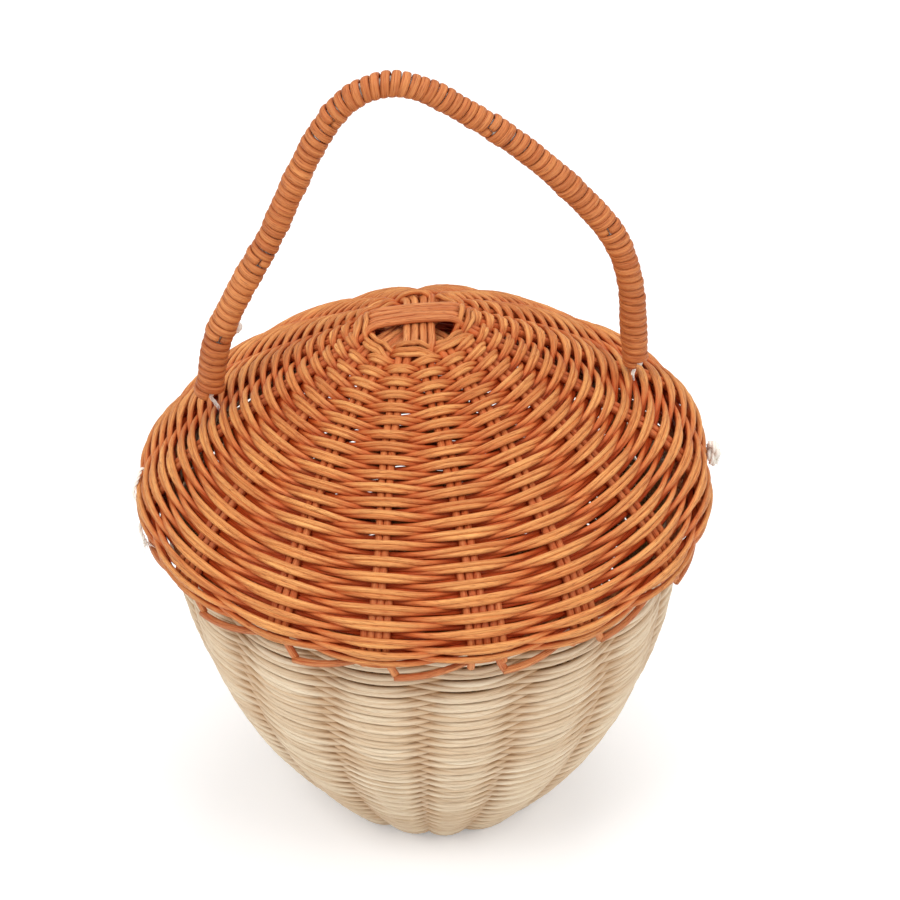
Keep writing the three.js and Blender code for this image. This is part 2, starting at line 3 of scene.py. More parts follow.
import bpy
import numpy as np
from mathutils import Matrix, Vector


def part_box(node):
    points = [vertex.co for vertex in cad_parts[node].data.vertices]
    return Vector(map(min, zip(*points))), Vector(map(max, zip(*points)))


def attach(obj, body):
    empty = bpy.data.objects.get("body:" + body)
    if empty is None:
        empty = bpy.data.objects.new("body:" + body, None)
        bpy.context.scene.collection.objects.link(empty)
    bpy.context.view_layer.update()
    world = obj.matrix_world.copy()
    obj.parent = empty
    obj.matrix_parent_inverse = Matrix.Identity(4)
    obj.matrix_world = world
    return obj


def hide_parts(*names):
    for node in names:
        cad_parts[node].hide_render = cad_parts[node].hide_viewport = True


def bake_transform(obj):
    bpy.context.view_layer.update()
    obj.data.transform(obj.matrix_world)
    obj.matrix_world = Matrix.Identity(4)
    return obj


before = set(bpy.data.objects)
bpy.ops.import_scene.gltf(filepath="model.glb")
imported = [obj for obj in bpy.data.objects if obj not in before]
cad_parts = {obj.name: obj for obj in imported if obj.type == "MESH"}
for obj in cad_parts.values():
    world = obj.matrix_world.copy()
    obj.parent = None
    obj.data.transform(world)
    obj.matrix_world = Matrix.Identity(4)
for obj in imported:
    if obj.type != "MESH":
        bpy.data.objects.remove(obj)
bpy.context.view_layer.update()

# Bowl, stakes. Sixteen round reeds of undyed rattan, each running from rim to rim
# through the crossing in the base, where they lie stacked in four bundles of four.
# Their ends stand in the wall as sixteen pairs, which only the weave holds.
MM = 0.001  # all sizes below are in millimetres, up to the studio
PAIRS = 16
STEP = 2 * math.pi / PAIRS  # from one pair to the next
STAKE = 2.85  # thickness of a stake
PAIR_SPACING = 2.95  # between the two stakes of a pair
WALL_DEPTH = 3.5  # from the wall's outer face to the middle of its stakes
CROSS_DEPTH = 4.0  # the same at the crossing
LAYER = 2.55  # from one stacked bundle to the next
CROSS_FLAT, CROSS_END = 14.0, 24.0  # radii between which the bundles come down to one level
BUNDLES = {  # direction in degrees, and level in the stack
    "across": (0, 1.5), "along": (90, 0.5), "diagonal_a": (45, -0.5), "diagonal_b": (135, -1.5)}
PAST_MOUTH = 1.5  # how far the stakes reach into the border
STAKE_SAMPLE = 2.4  # from one point of a stake's line to the next

MOUTH_RADIUS, BOWL_HEIGHT, FOOT_RADIUS = 97.5, 137.0, 46.8
BOWL_SWELL = 2.2  # power of the wall's curve
BOWL_LEAN = 5.5  # the foot stands this far to the right of the mouth
BASE_HOLLOW, BASE_RING = 8.0, 36.0  # the base is pushed up this high, inside this radius
FOOT_BEND, FOOT_TOP = 5.5, 4.0  # the rounded foot reaches this far in and up
BOWL_CROWDING = [(296, 45, -10)]  # middle, half width and turn of the arc, in degrees
BOWL_CROWD_START, BOWL_CROWD_END = 22, 44  # radii between which it sets in


def unit(lines):
    """The same directions, each of length 1."""
    return lines / np.linalg.norm(lines, axis=1)[:, None]


class Wall:
    """A round wall, by distance along its outline from the middle and depth behind its face."""

    def __init__(self, outline, inward, lean):
        self.outline, self.lean = outline, lean
        self.run = np.concatenate([[0], np.cumsum(np.hypot(*np.diff(outline, axis=0).T))])
        self.length = self.run[-1]
        along = unit(np.gradient(outline, self.run, axis=0))
        self.inside = inward * np.stack([-along[:, 1], along[:, 0]], 1)
        self.end = along[-1]

    def profile(self, s, depth):
        """Radius and height; past its end the wall goes on straight."""
        beyond = np.clip(s - self.length, 0, None)
        return [np.interp(s, self.run, self.outline[:, k])
                + depth * np.interp(s, self.run, self.inside[:, k]) + beyond * self.end[k] for k in (0, 1)]

    def points(self, angle, s, depth):
        """Places in the scene, with the wall's lean."""
        r, z = self.profile(s, depth)
        return self.lean(np.stack([r * np.cos(angle), r * np.sin(angle), z], -1))

    def outward(self, angle, s):
        """Directions square to the wall's face."""
        return unit(self.points(angle, s, -1.0) - self.points(angle, s, 1.0))

    def where(self, radius):
        """Distance along the outline at which it first has this radius."""
        widening = slice(np.argmax(self.outline[:, 0]) + 1)
        return float(np.interp(radius, self.outline[widening, 0], self.run[widening]))


def crowd(spots, arcs, start, end, share):
    """Turn spots about the middle within some arcs, where the pairs stand closer or wider."""
    angle = np.degrees(np.arctan2(spots[..., 1], spots[..., 0]))
    near = np.clip((np.hypot(spots[..., 0], spots[..., 1]) - start) / (end - start), 0, 1)
    turn = np.zeros_like(angle)
    for middle, half, size in arcs:
        away = np.abs((angle - middle + 540) % 360 - 180)
        turn += np.where(away < half, size * np.cos(math.pi / 2 * away / half) ** 2, 0)
    turn = np.radians(turn) * near * near * (3 - 2 * near) * share
    x, y = spots[..., 0].copy(), spots[..., 1].copy()
    spots[..., 0] = x * np.cos(turn) - y * np.sin(turn)
    spots[..., 1] = x * np.sin(turn) + y * np.cos(turn)


def lean_bowl(spots):
    """The bowl as it was made by hand: crowded pairs low down, and a foot out of the middle."""
    out = np.array(spots, float)
    low = 1 - out[..., 2] / BOWL_HEIGHT
    crowd(out, BOWL_CROWDING, BOWL_CROWD_START, BOWL_CROWD_END, np.clip(low, 0, None))
    out[..., 0] += BOWL_LEAN * low
    return out


def bowl_outline():
    """Radius and height from the middle of the base round the foot and up to the mouth."""
    r = np.linspace(0, BASE_RING, 200)
    base = np.stack([r, BASE_HOLLOW * (1 - (r / BASE_RING) ** 2)], 1)
    z = np.linspace(0, BOWL_HEIGHT, 800)
    widening = (MOUTH_RADIUS - FOOT_RADIUS) * (1 - z / BOWL_HEIGHT) ** BOWL_SWELL
    side = np.stack([MOUTH_RADIUS - widening, z], 1)[z > FOOT_TOP]
    t = np.linspace(0, 1, 80)[:, None]
    start, corner = np.array([FOOT_RADIUS - FOOT_BEND, 0]), np.array([FOOT_RADIUS, 0])
    bend = (1 - t) ** 2 * start + 2 * t * (1 - t) * corner + t ** 2 * side[0]
    return np.concatenate([base, bend, side[1:]])


BOWL = Wall(bowl_outline(), 1, lean_bowl)


def sweep(line, radius, up, sides=8, closed=False, flatten=1.0, square=1.0):
    """A reed or cord along a line, with its flatter side towards up."""
    count = len(line)
    ahead = np.roll(line, -1, 0) - line
    behind = line - np.roll(line, 1, 0)
    if not closed:
        ahead[-1], behind[0] = behind[-1], ahead[0]
    tangent = unit(unit(ahead) + unit(behind))
    side = unit(np.cross(tangent, up))
    out = np.cross(side, tangent)
    around = np.linspace(0, 2 * math.pi, sides, endpoint=False)[None, :]
    across = np.sign(np.cos(around)) * np.abs(np.cos(around)) ** square
    above = np.sign(np.sin(around)) * np.abs(np.sin(around)) ** square
    radius = np.broadcast_to(np.asarray(radius, float), (count,))[:, None]
    flatten = np.broadcast_to(np.asarray(flatten, float), (count,))[:, None]
    ring = (side[:, None, :] * (radius * across)[..., None]
            + out[:, None, :] * (radius * flatten * above)[..., None])
    i, j = np.meshgrid(np.arange(count if closed else count - 1), np.arange(sides), indexing="ij")
    i2, j2 = (i + 1) % count, (j + 1) % sides
    quads = np.stack([i * sides + j, i * sides + j2, i2 * sides + j2, i2 * sides + j], -1).reshape(-1, 4)
    steps = np.linalg.norm(np.diff(np.vstack([line, line[:1]]), axis=0), axis=1)
    run = np.concatenate([[0], np.cumsum(steps)])
    u = np.stack([run[i], run[i], run[i + 1], run[i + 1]], -1).reshape(-1)
    v = np.stack([j, j + 1, j + 1, j], -1).reshape(-1) / sides
    return (line[:, None, :] + ring).reshape(-1, 3), quads, np.stack([u, v], 1)


DEPTH_FROM, DEPTH_RANGE = 0.2, 3.6  # over this the depth attribute goes from 0 to 1, and the painted shade with it


def piece(name, reeds, body, material, nodes):
    """One object of many reeds. Its UV map has each reed's own run, its attributes tone and depth; depth
    lays painted shade on reeds behind others and on each reed's inward face.
    """
    corners, quads, places, tones, depths, ends = [], [], [], [], [], []
    start = 0
    for reed in reeds:
        options = {k: v for k, v in reed.items() if k not in ("line", "radius", "up", "tone", "depth")}
        points, faces, uv = sweep(reed["line"], reed["radius"], reed["up"], **options)
        sides = options.get("sides", 8)
        face_out = np.sin(np.linspace(0, 2 * math.pi, sides, endpoint=False))
        depth = np.broadcast_to(reed.get("depth", 0.0), (len(reed["line"]),))[:, None]
        # painted shade: the side of a reed turned inward counts as further behind
        behind = depth - STAKE / 2 * face_out
        depths.append(np.clip((behind - DEPTH_FROM) / DEPTH_RANGE, 0, 1).ravel())
        corners.append(points)
        quads.append(faces + start)
        places.append(uv)
        tones.append(np.full(len(points), reed["tone"]))
        if not options.get("closed"):
            last = start + len(points) - sides
            ends.append(([start + k for k in range(sides)][::-1], 0.0))
            ends.append(([last + k for k in range(sides)], float(uv[-1, 0])))
        start += len(points)
    mesh = bpy.data.meshes.new(name)
    faces = np.concatenate(quads).tolist() + [end for end, _ in ends]
    corners = np.concatenate(corners) * MM
    corners[:, 2] = np.maximum(corners[:, 2], 0)  # the foot is pressed flat where it stands
    mesh.from_pydata(corners, [], faces)
    end_places = [np.array([[run, k / len(end)] for k in range(len(end))]) for end, run in ends]
    uv = np.concatenate(places + end_places)
    uv[:, 0] *= MM
    mesh.uv_layers.new(name="run").data.foreach_set("uv", uv.astype(np.float32).ravel())
    for attribute, values in (("tone", tones), ("depth", depths)):
        data = mesh.attributes.new(attribute, "FLOAT", "POINT").data
        data.foreach_set("value", np.concatenate(values).astype(np.float32))
    smooth = np.ones(len(faces), bool)
    smooth[len(faces) - len(ends):] = False
    mesh.polygons.foreach_set("use_smooth", smooth)
    mesh.update()
    obj = bpy.data.objects.new(name, mesh)
    bpy.context.scene.collection.objects.link(obj)
    mesh.materials.append(material)
    if body:
        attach(obj, body)
    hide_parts(*nodes)
    return obj


def drift(rng, angle, size, waves=(1, 2, 3, 5, 8, 13)):
    """Smooth wandering round a ring, of about the given size."""
    total = sum(rng.normal() * np.cos(k * angle + rng.uniform(0, 2 * math.pi)) for k in waves)
    return size * total / math.sqrt(len(waves) / 2)


def crossing(radius):
    """1 where the bundles lie stacked, 0 where they have come down to one level."""
    share = np.clip((radius - CROSS_FLAT) / (CROSS_END - CROSS_FLAT), 0, 1)
    return (1 + np.cos(math.pi * share)) / 2


FORK_SHARPNESS = 2.2  # how suddenly a bundle opens into pairs
FORK_ROOM = 0.32  # play between its pairs before it does
WANDER, WANDER_LENGTH = 0.12, 9  # a stake swerves this much between its neighbours
SWELL, SWELL_LENGTH = 0.03, 17  # and is this share thicker and thinner along its length
CUT_UNEVENLY = 2.2  # stake ends are cut up to this much short
CROSS_PRESSED = 0.08  # share by which the stakes are pressed flatter at the crossing
CROSS_LIT = 0.65  # share by which their depth, and so their painted shade, is less there


def stake_pair(wall, angle, side, level, outward, reach, rng, slip=0.0):
    """Two stakes side by side from rim to rim, their bundle slipped aside at the crossing."""
    turn = math.radians(angle)
    forward = np.array([math.cos(turn), math.sin(turn)])
    across = np.array([-math.sin(turn), math.cos(turn)])
    s = np.linspace(-reach, reach, 2 * int(reach / STAKE_SAMPLE) + 1)
    distance = np.abs(s)
    stacked = crossing(np.interp(distance, wall.run, wall.outline[:, 0]))
    radius, height = wall.profile(distance, WALL_DEPTH + (CROSS_DEPTH - WALL_DEPTH) * stacked)
    fan = radius * math.sin(STEP / 2)
    offset = PAIR_SPACING + np.log1p(np.exp((fan - PAIR_SPACING) * FORK_SHARPNESS)) / FORK_SHARPNESS
    offset = np.minimum(offset, np.maximum(fan, PAIR_SPACING) + FORK_ROOM)
    offset = np.where(fan > PAIR_SPACING + 2, fan, offset)
    ahead = np.sqrt(np.maximum(radius ** 2 - np.where(radius > offset, offset, 0) ** 2, 0)) * np.sign(s)
    sure = radius > 1.3 * PAIR_SPACING  # nearer the middle the stakes simply go on
    ahead = np.where(sure, ahead, np.interp(s, s[sure], ahead[sure]))
    plan = ahead[:, None] * forward + (side * offset + slip * stacked)[:, None] * across
    step = unit(np.gradient(plan, axis=0))
    beside = np.stack([-step[:, 1], step[:, 0]], 1)
    height = height + outward * level * LAYER * stacked
    reeds = []
    for which in (-1, 1):
        xy = plan + which * PAIR_SPACING / 2 * beside
        line = np.column_stack([xy, height])
        wander = np.sin(s / WANDER_LENGTH + rng.uniform(0, 6)) * WANDER * (1 - stacked)
        line[:, :2] += wander[:, None] * beside
        up = wall.outward(np.arctan2(xy[:, 1], xy[:, 0]), distance)
        first, last = sorted(rng.uniform(0, CUT_UNEVENLY, 2))
        keep = (s > -reach + first) & (s < reach - last)
        reeds.append({
            "line": wall.lean(line[keep]), "up": up[keep], "tone": rng.uniform(),
            "depth": WALL_DEPTH * (1 - CROSS_LIT * stacked[keep]),
            "radius": STAKE / 2 * (1 + SWELL * np.sin(s[keep] / SWELL_LENGTH + rng.uniform(0, 6))),
            "flatten": 1 - CROSS_PRESSED * stacked[keep],
        })
    return reeds


def feed(links, socket, value):
    """Link a socket to another one, or set it."""
    if isinstance(value, bpy.types.NodeSocket):
        links.new(value, socket)
    else:
        socket.default_value = value


def mix(nodes, links, first, second, share):
    """A colour between two others."""
    node = nodes.new("ShaderNodeMix")
    node.data_type = "RGBA"
    for index, value in ((6, first), (7, second), (0, share)):
        feed(links, node.inputs[index], value)
    return node.outputs[2]


def grain_and_shade_group():
    """Rattan grain on each reed's own run: long streaks, pores, patches and tone; and painted shade, a
    darker colour where the depth attribute says a reed lies behind others.
    """
    group = bpy.data.node_groups.new("Reed grain and painted shade", "ShaderNodeTree")
    # the fourth colour is that of the painted shade
    for label in ("Base", "Light", "Dark", "Painted_shade"):
        group.interface.new_socket(name=label, in_out="INPUT", socket_type="NodeSocketColor")
    for label in ("Streaks", "Pores", "Patches", "Tone", "Depth"):
        group.interface.new_socket(name=label, in_out="INPUT", socket_type="NodeSocketFloat")
    for label, kind in (("Color", "Color"), ("Roughness", "Float"), ("Height", "Float")):
        group.interface.new_socket(name=label, in_out="OUTPUT", socket_type="NodeSocket" + kind)
    nodes, links = group.nodes, group.links
    given, result = nodes.new("NodeGroupInput").outputs, nodes.new("NodeGroupOutput").inputs

    def calc(operation, first, second=0.0):
        node = nodes.new("ShaderNodeMath")
        node.operation = operation
        feed(links, node.inputs[0], first)
        feed(links, node.inputs[1], second)
        return node.outputs[0]

    def times(first, second):
        return calc("MULTIPLY", first, second)

    run = nodes.new("ShaderNodeUVMap")
    run.uv_map = "run"
    place = nodes.new("ShaderNodeSeparateXYZ")
    links.new(run.outputs["UV"], place.inputs[0])
    tone, depth = nodes.new("ShaderNodeAttribute"), nodes.new("ShaderNodeAttribute")
    tone.attribute_name, depth.attribute_name = "tone", "depth"
    tone, depth = tone.outputs["Fac"], depth.outputs["Fac"]
    angle = times(place.outputs["Y"], 2 * math.pi)
    shift = times(tone, 37.0)  # so that no two reeds show the same stretch of the noise

    def marks(along, around, detail, rough, offset, low, high):
        """Noise along and round a reed, from 0 at low to 1 at high."""
        spot = nodes.new("ShaderNodeCombineXYZ")
        links.new(calc("ADD", times(place.outputs["X"], along), shift), spot.inputs[0])
        links.new(times(calc("SINE", angle), around), spot.inputs[1])
        links.new(calc("ADD", times(calc("COSINE", angle), around), offset), spot.inputs[2])
        noise = nodes.new("ShaderNodeTexNoise")
        for label, value in (("Scale", 1), ("Detail", detail), ("Roughness", rough)):
            noise.inputs[label].default_value = value
        links.new(spot.outputs[0], noise.inputs["Vector"])
        spread = nodes.new("ShaderNodeMapRange")
        spread.inputs["From Min"].default_value, spread.inputs["From Max"].default_value = low, high
        links.new(noise.outputs["Fac"], spread.inputs["Value"])
        return spread.outputs["Result"]

    streak = marks(48, 4.4, 3, 0.65, 0.0, 0.38, 0.62)
    pore = marks(250, 6.0, 1, 0.5, 9.0, 0.60, 0.68)
    patch = marks(30, 0.5, 2, 0.5, 21.0, 0.38, 0.62)
    color = given["Base"]
    for shade, share in (
        ("Light", times(streak, given["Streaks"])),
        ("Dark", times(calc("SUBTRACT", 1.0, streak), times(given["Streaks"], 0.55))),
        ("Dark", times(patch, given["Patches"])),
        ("Light", times(calc("SUBTRACT", 1.0, tone), given["Tone"])),
        ("Dark", times(tone, times(given["Tone"], 0.8))),
        ("Dark", times(pore, given["Pores"])),
        # painted shade, laid on as the depth attribute grows
        ("Painted_shade", times(depth, given["Depth"])),
    ):
        color = mix(nodes, links, color, given[shade], share)
    links.new(color, result["Color"])
    links.new(calc("ADD", times(streak, -0.14), 0.52), result["Roughness"])
    links.new(calc("SUBTRACT", times(streak, 0.7), times(pore, 0.6)), result["Height"])
    return group


GRAIN_AND_SHADE = grain_and_shade_group()


def srgb(*channels):
    """A colour as it is seen on a screen, from 0 to 255."""
    return tuple(((c / 255 + 0.055) / 1.055) ** 2.4 if c > 10 else c / 255 / 12.92 for c in channels) + (1,)


def reed_material(name, base, light, dark, painted_shade, bump, **shares):
    """Reed or cane with a faint gloss, grain and painted shade; the shares are those of the grain group."""
    material = bpy.data.materials.new(name)
    material.use_nodes = True
    nodes, links = material.node_tree.nodes, material.node_tree.links
    shader = nodes["Principled BSDF"]
    grain = nodes.new("ShaderNodeGroup")
    grain.node_tree = GRAIN_AND_SHADE
    for label, value in {"base": base, "light": light, "dark": dark, "painted_shade": painted_shade, **shares}.items():
        grain.inputs[label.capitalize()].default_value = value
    relief = nodes.new("ShaderNodeBump")
    relief.inputs["Strength"].default_value = bump
    relief.inputs["Distance"].default_value = 0.0003
    links.new(grain.outputs["Color"], shader.inputs["Base Color"])
    links.new(grain.outputs["Roughness"], shader.inputs["Roughness"])
    links.new(grain.outputs["Height"], relief.inputs["Height"])
    links.new(relief.outputs["Normal"], shader.inputs["Normal"])
    shader.inputs["Specular IOR Level"].default_value = 0.3
    return material


# the fourth colour is painted shade, laid on by the depth attribute
natural_stake = reed_material(
    "natural stake reed", srgb(229, 197, 153), srgb(244, 222, 186), srgb(150, 104, 60),
    srgb(192, 140, 84), bump=0.5, streaks=0.5, pores=0.5, patches=0.25, tone=0.3, depth=0.8)

rng = np.random.default_rng(7)
for bundle, (angle, level) in BUNDLES.items():
    for side, sign in (("left", 1), ("right", -1)):
        node = f"body_spokes_{bundle}_{side}"
        stakes = stake_pair(BOWL, angle, sign, level, -1, BOWL.length + PAST_MOUTH, rng)
        piece(node + "_reeds", stakes, "body", natural_stake, [node])

# Bowl, weave. Undyed weaving reeds, two lying together in each row, in and out of
# the stake pairs from the crossing in the base up to the mouth. The first two rows
# are single reeds twined round the eight arms of the crossing.
BOWL_STRAND, BOWL_SPACING = 2.4, 1.75  # thickness of a weaver, and from one to the other in a row
BOWL_TILT = math.radians(62)  # between two pairs the two of a row turn this far round each other
BOWL_WANDER = 0.1  # how far a row wanders up and down
BASE_TWINED, BASE_STRAND = (18.6, 22.2), 1.9  # places of the twined rows, and their reed
TWINED_CORNER = 1.5  # between the arms a twined row reaches this much further out
BOWL_FIRST_ROW = 26.2
ROW_SAMPLE = 3.6  # from one point of a weaver's line to the next, with 6 to 11 points to a pair
SHARED_SHIFT = 0.08  # how far a row is off its place, and next how its two weavers differ
OWN_SHIFT, OWN_TURN, OWN_SWING, OWN_THICKNESS = 0.045, 0.10, 0.035, 0.028
THICK_FROM, THICK_OVER, THICKER = 85, 25, 0.08  # the widest rows are of thicker reed
BOWL_PITCH = (0, 0.35, 0.55, 0.86, 0.9, 1), (2.75, 2.9, 2.45, 2.42, 2.95, 2.95)  # share of the way up
UPPER_BAND_FROM = 66  # height at which the upper node takes over
ABOVE_FOOT = 300  # from this point on the outline only rises

# the fourth colour is painted shade, laid on by the depth attribute
natural_weaver = reed_material(
    "natural weaving reed", srgb(239, 215, 181), srgb(251, 238, 213), srgb(184, 140, 94),
    srgb(180, 130, 78), bump=0.4, streaks=0.4, pores=0.3, patches=0.18, tone=0.3, depth=1.0)


def arm_height(angle, radius):
    """How far each arm of the crossing lies above the middle level, read round the ring."""
    levels = {round(a % 180): level for a, level in BUNDLES.values()}
    arms = np.array([levels[(45 * k) % 180] for k in range(9)])
    spot = (angle % (2 * math.pi)) / (math.pi / 4)
    low = np.floor(spot).astype(int)
    share = (1 - np.cos(math.pi * (spot - low))) / 2
    return LAYER * crossing(radius) * (arms[low] * (1 - share) + arms[low + 1] * share)


def twined_row(wall, s0, outward, strand, doubled, rng, samples=128):
    """Two weavers that pass over and under the eight arms by turns and cross between them."""
    angle = np.linspace(0, 2 * math.pi, samples, endpoint=False)
    theta = 4 * angle
    over = np.cos(theta)
    corner = TWINED_CORNER * ((1 - np.cos(8 * angle)) / 2) ** 1.5
    reach = STAKE / 2 + strand / 2 + 0.05
    reeds = []
    for which in (1, -1):
        # level across each arm and steep between two of them
        swing = which * (1.875 * over - 1.25 * over ** 3 + 0.375 * over ** 5) * reach
        beside = which * np.sin(theta) ** 3 * strand * (0.95 if doubled else 0.52) + corner
        # two together lie side by side over an arm, and half behind each other between two
        for part in ((-0.5, 0.5) if doubled else (0,)):
            s = s0 + beside + part * strand * (0.55 + 0.45 * over ** 2) + drift(rng, angle, 0.08)
            tilt = part * strand * 0.6 * np.sin(theta) ** 2
            radius = np.interp(s, wall.run, wall.outline[:, 0])
            depth = WALL_DEPTH + (CROSS_DEPTH - WALL_DEPTH) * crossing(radius) - swing + tilt
            line = wall.points(angle, s, depth)
            line[:, 2] += outward * arm_height(angle, radius)
            reeds.append({"line": line, "up": wall.outward(angle, s), "closed": True, "tone": rng.uniform(),
                          "radius": strand / 2 * (1 + drift(rng, angle, 0.03)), "depth": WALL_DEPTH - swing})
    return reeds


def woven_row(wall, s0, out, strand, spacing, tilt, rng, wander):
    """A row of plain weave: two weavers, side by side over a pair, one behind the other between pairs."""
    radius = float(np.interp(min(s0, wall.length), wall.run, wall.outline[:, 0]))
    samples = PAIRS * max(6, min(11, round(2 * math.pi * radius / PAIRS / ROW_SAMPLE)))
    angle = np.linspace(0, 2 * math.pi, samples, endpoint=False)
    theta = PAIRS / 2 * (angle - STEP / 2)
    reach = STAKE / 2 + strand / 2 + 0.02
    shared = drift(rng, angle, wander) + rng.normal() * SHARED_SHIFT
    strand *= 1 + THICKER * min(max((radius - THICK_FROM) / THICK_OVER, 0), 1)
    reeds = []
    for part in (-0.5, 0.5):
        lean = tilt * np.sin(theta) ** 2 * (1 + drift(rng, angle, OWN_TURN))
        s = s0 + shared + part * spacing * np.cos(lean) + drift(rng, angle, OWN_SHIFT)
        swing = out * np.cos(theta) * reach * (1 + drift(rng, angle, OWN_SWING))
        depth = WALL_DEPTH - swing + part * spacing * np.sin(lean)
        reeds.append({"line": wall.points(angle, s, depth), "up": wall.outward(angle, s), "closed": True,
                      "tone": rng.uniform(), "depth": depth,
                      "radius": strand / 2 * (1 + drift(rng, angle, OWN_THICKNESS, (1, 2, 3, 4, 6)))})
    return reeds


foot = BOWL.where(FOOT_RADIUS - 0.6)  # here the base node ends, just inside the foot
upper_band = float(np.interp(UPPER_BAND_FROM, BOWL.outline[ABOVE_FOOT:, 1], BOWL.run[ABOVE_FOOT:]))
bowl_rows = {"base_weave": [], "body_lower_weave": [], "body_upper_weave": []}
for s0 in BASE_TWINED:
    bowl_rows["base_weave"] += twined_row(BOWL, s0, -1, BASE_STRAND, False, rng)
s0, row = BOWL_FIRST_ROW, 0
while s0 < BOWL.length:
    node = "base_weave" if s0 < foot else "body_lower_weave" if s0 < upper_band else "body_upper_weave"
    out = 1 if row % 2 else -1
    bowl_rows[node] += woven_row(BOWL, s0, out, BOWL_STRAND, BOWL_SPACING, BOWL_TILT, rng, BOWL_WANDER)
    s0 += float(np.interp(s0 / BOWL.length, *BOWL_PITCH))
    row += 1
for node, reeds in bowl_rows.items():
    piece(node + "_reeds", reeds, "body", natural_weaver, [node])

# Bowl, border. The stake ends are turned down at the mouth and laid over each other
# in a rolled border of undyed reed, which the lid stands on.
BORDER_REED, BORDER_REEDS, BORDER_TURNS = 2.5, 5, 16
BORDER_INNER, BORDER_OUTER, BORDER_BOTTOM, BORDER_TOP = 92.5, 100.5, 137.3, 142.0


def rolled_border(inner, outer, bottom, top, reeds, turns, thickness, lean, rng, samples=256):
    """Reeds that wind round each other along a ring, in a flattened roll."""
    angle = np.linspace(0, 2 * math.pi, samples, endpoint=False)
    middle, half = (inner + outer) / 2, (outer - inner) / 2 - thickness / 2
    rise, level = (top - bottom) / 2 - thickness / 2, (top + bottom) / 2
    laid = []
    for k in range(reeds):
        phase = turns * angle + 2 * math.pi * k / reeds
        r = middle + half * np.cos(phase) + drift(rng, angle, 0.06)
        z = level + rise * np.sin(phase) + drift(rng, angle, 0.04)
        line = lean(np.stack([r * np.cos(angle), r * np.sin(angle), z], 1))
        up = np.stack([np.cos(phase) * np.cos(angle), np.cos(phase) * np.sin(angle), np.sin(phase)], 1)
        laid.append({"line": line, "up": up, "closed": True, "radius": thickness / 2, "tone": rng.uniform()})
    return laid


border = rolled_border(BORDER_INNER, BORDER_OUTER, BORDER_BOTTOM, BORDER_TOP,
                       BORDER_REEDS, BORDER_TURNS, BORDER_REED, lean_bowl, rng)
piece("body_border_reeds", border, "body", natural_weaver, ["body_border"])

# Lid, stakes. As in the bowl, sixteen reeds through a crossing, here at the crown
# and dyed orange-brown. The crown is off the middle of this hand-made lid, and its
# right shoulder is fuller than the left.
LID_RADIUS, LID_WIDE_HEIGHT, LID_RISE, LID_FULLNESS = 109.3, 146.0, 60.8, 1.45
LID_EDGE_RADIUS, LID_EDGE_HEIGHT = 107.8, 139.8
CROWN_FLAT = 18.0  # radius of the crossing, which is nearly flat
CROWN_RISE, CROWN_SPREAD = 7.2, 26.0  # it is drawn up this much above the dome
CROWN_ASIDE, CROWN_BACK = -3.8, 13.2  # the crown stands this far to the right and back
CROWN_TILT = 0.11  # and the dome rises this steeply to the right
LEAN_WITHIN, LEAN_POWER = 107.0, 1.2  # the dome leans inside this radius, most at the crown
LID_CROWDING = [(233, 50, 4.3), (306, 28, -2)]
LID_CROWD_START, LID_CROWD_END = 30, 90
SHOULDER_ANGLE, SHOULDER_HALF = 15, 55  # middle and half width, in degrees
SHOULDER_OUT, SHOULDER_BACK, SHOULDER_UP = 5.6, 2.2, 3.2
SHOULDER_SHARE = (  # by height
    (147, 150, 155, 160, 165, 170, 175, 179), (0, 0.22, 0.7, 0.98, 1, 0.78, 0.33, 0))
PAST_EDGE = 3.2  # how far the stakes show below the last row
CROSSING_SLIP = -2.0  # the bundle from front to back has slipped to the right


def lid_outline():
    """Radius and height from the crown over the dome and down the side to the edge."""
    angle = np.linspace(math.pi / 2, 0, 1600)
    r = LID_RADIUS * np.clip(np.cos(angle), 0, 1) ** (2 / LID_FULLNESS)
    woven = np.maximum(r, CROWN_FLAT)
    dome = np.clip(1 - (woven / LID_RADIUS) ** LID_FULLNESS, 0, 1) ** (1 / LID_FULLNESS)
    drawn_up = CROWN_RISE * np.exp(-((woven / CROWN_SPREAD) ** 2))
    z = LID_WIDE_HEIGHT + LID_RISE * dome + drawn_up + (1 - (r / woven) ** 2)
    drop = np.linspace(0, 1, 60)[1:]
    side = np.stack([LID_RADIUS - (LID_RADIUS - LID_EDGE_RADIUS) * drop ** 2,
                     LID_WIDE_HEIGHT + (LID_EDGE_HEIGHT - LID_WIDE_HEIGHT) * drop], 1)
    outline = np.concatenate([np.stack([r, z], 1), side])
    run = np.concatenate([[0], np.cumsum(np.hypot(*np.diff(outline, axis=0).T))])
    even = np.linspace(0, run[-1], 1200)
    return np.stack([np.interp(even, run, outline[:, 0]), np.interp(even, run, outline[:, 1])], 1)


def lean_lid(spots):
    """The lid as it was made by hand: uneven pairs, a crown out of the middle, one full shoulder."""
    out = np.array(spots, float)
    crowd(out, LID_CROWDING, LID_CROWD_START, LID_CROWD_END, 1)
    inside = 1 - (out[..., 0] ** 2 + out[..., 1] ** 2) / LEAN_WITHIN ** 2
    share = np.clip(inside, 0, None) ** LEAN_POWER
    out[..., 0] += CROWN_ASIDE * share
    out[..., 1] += CROWN_BACK * share
    out[..., 2] += CROWN_TILT * out[..., 0] * share
    turn = np.degrees(np.arctan2(spots[..., 1], spots[..., 0]))
    full = np.cos(math.pi / 2 * np.clip((turn - SHOULDER_ANGLE) / SHOULDER_HALF, -1, 1)) ** 2
    full *= np.interp(spots[..., 2], *SHOULDER_SHARE)
    for axis, size in enumerate((SHOULDER_OUT, SHOULDER_BACK, SHOULDER_UP)):
        out[..., axis] += size * full
    return out


LID = Wall(lid_outline(), -1, lean_lid)
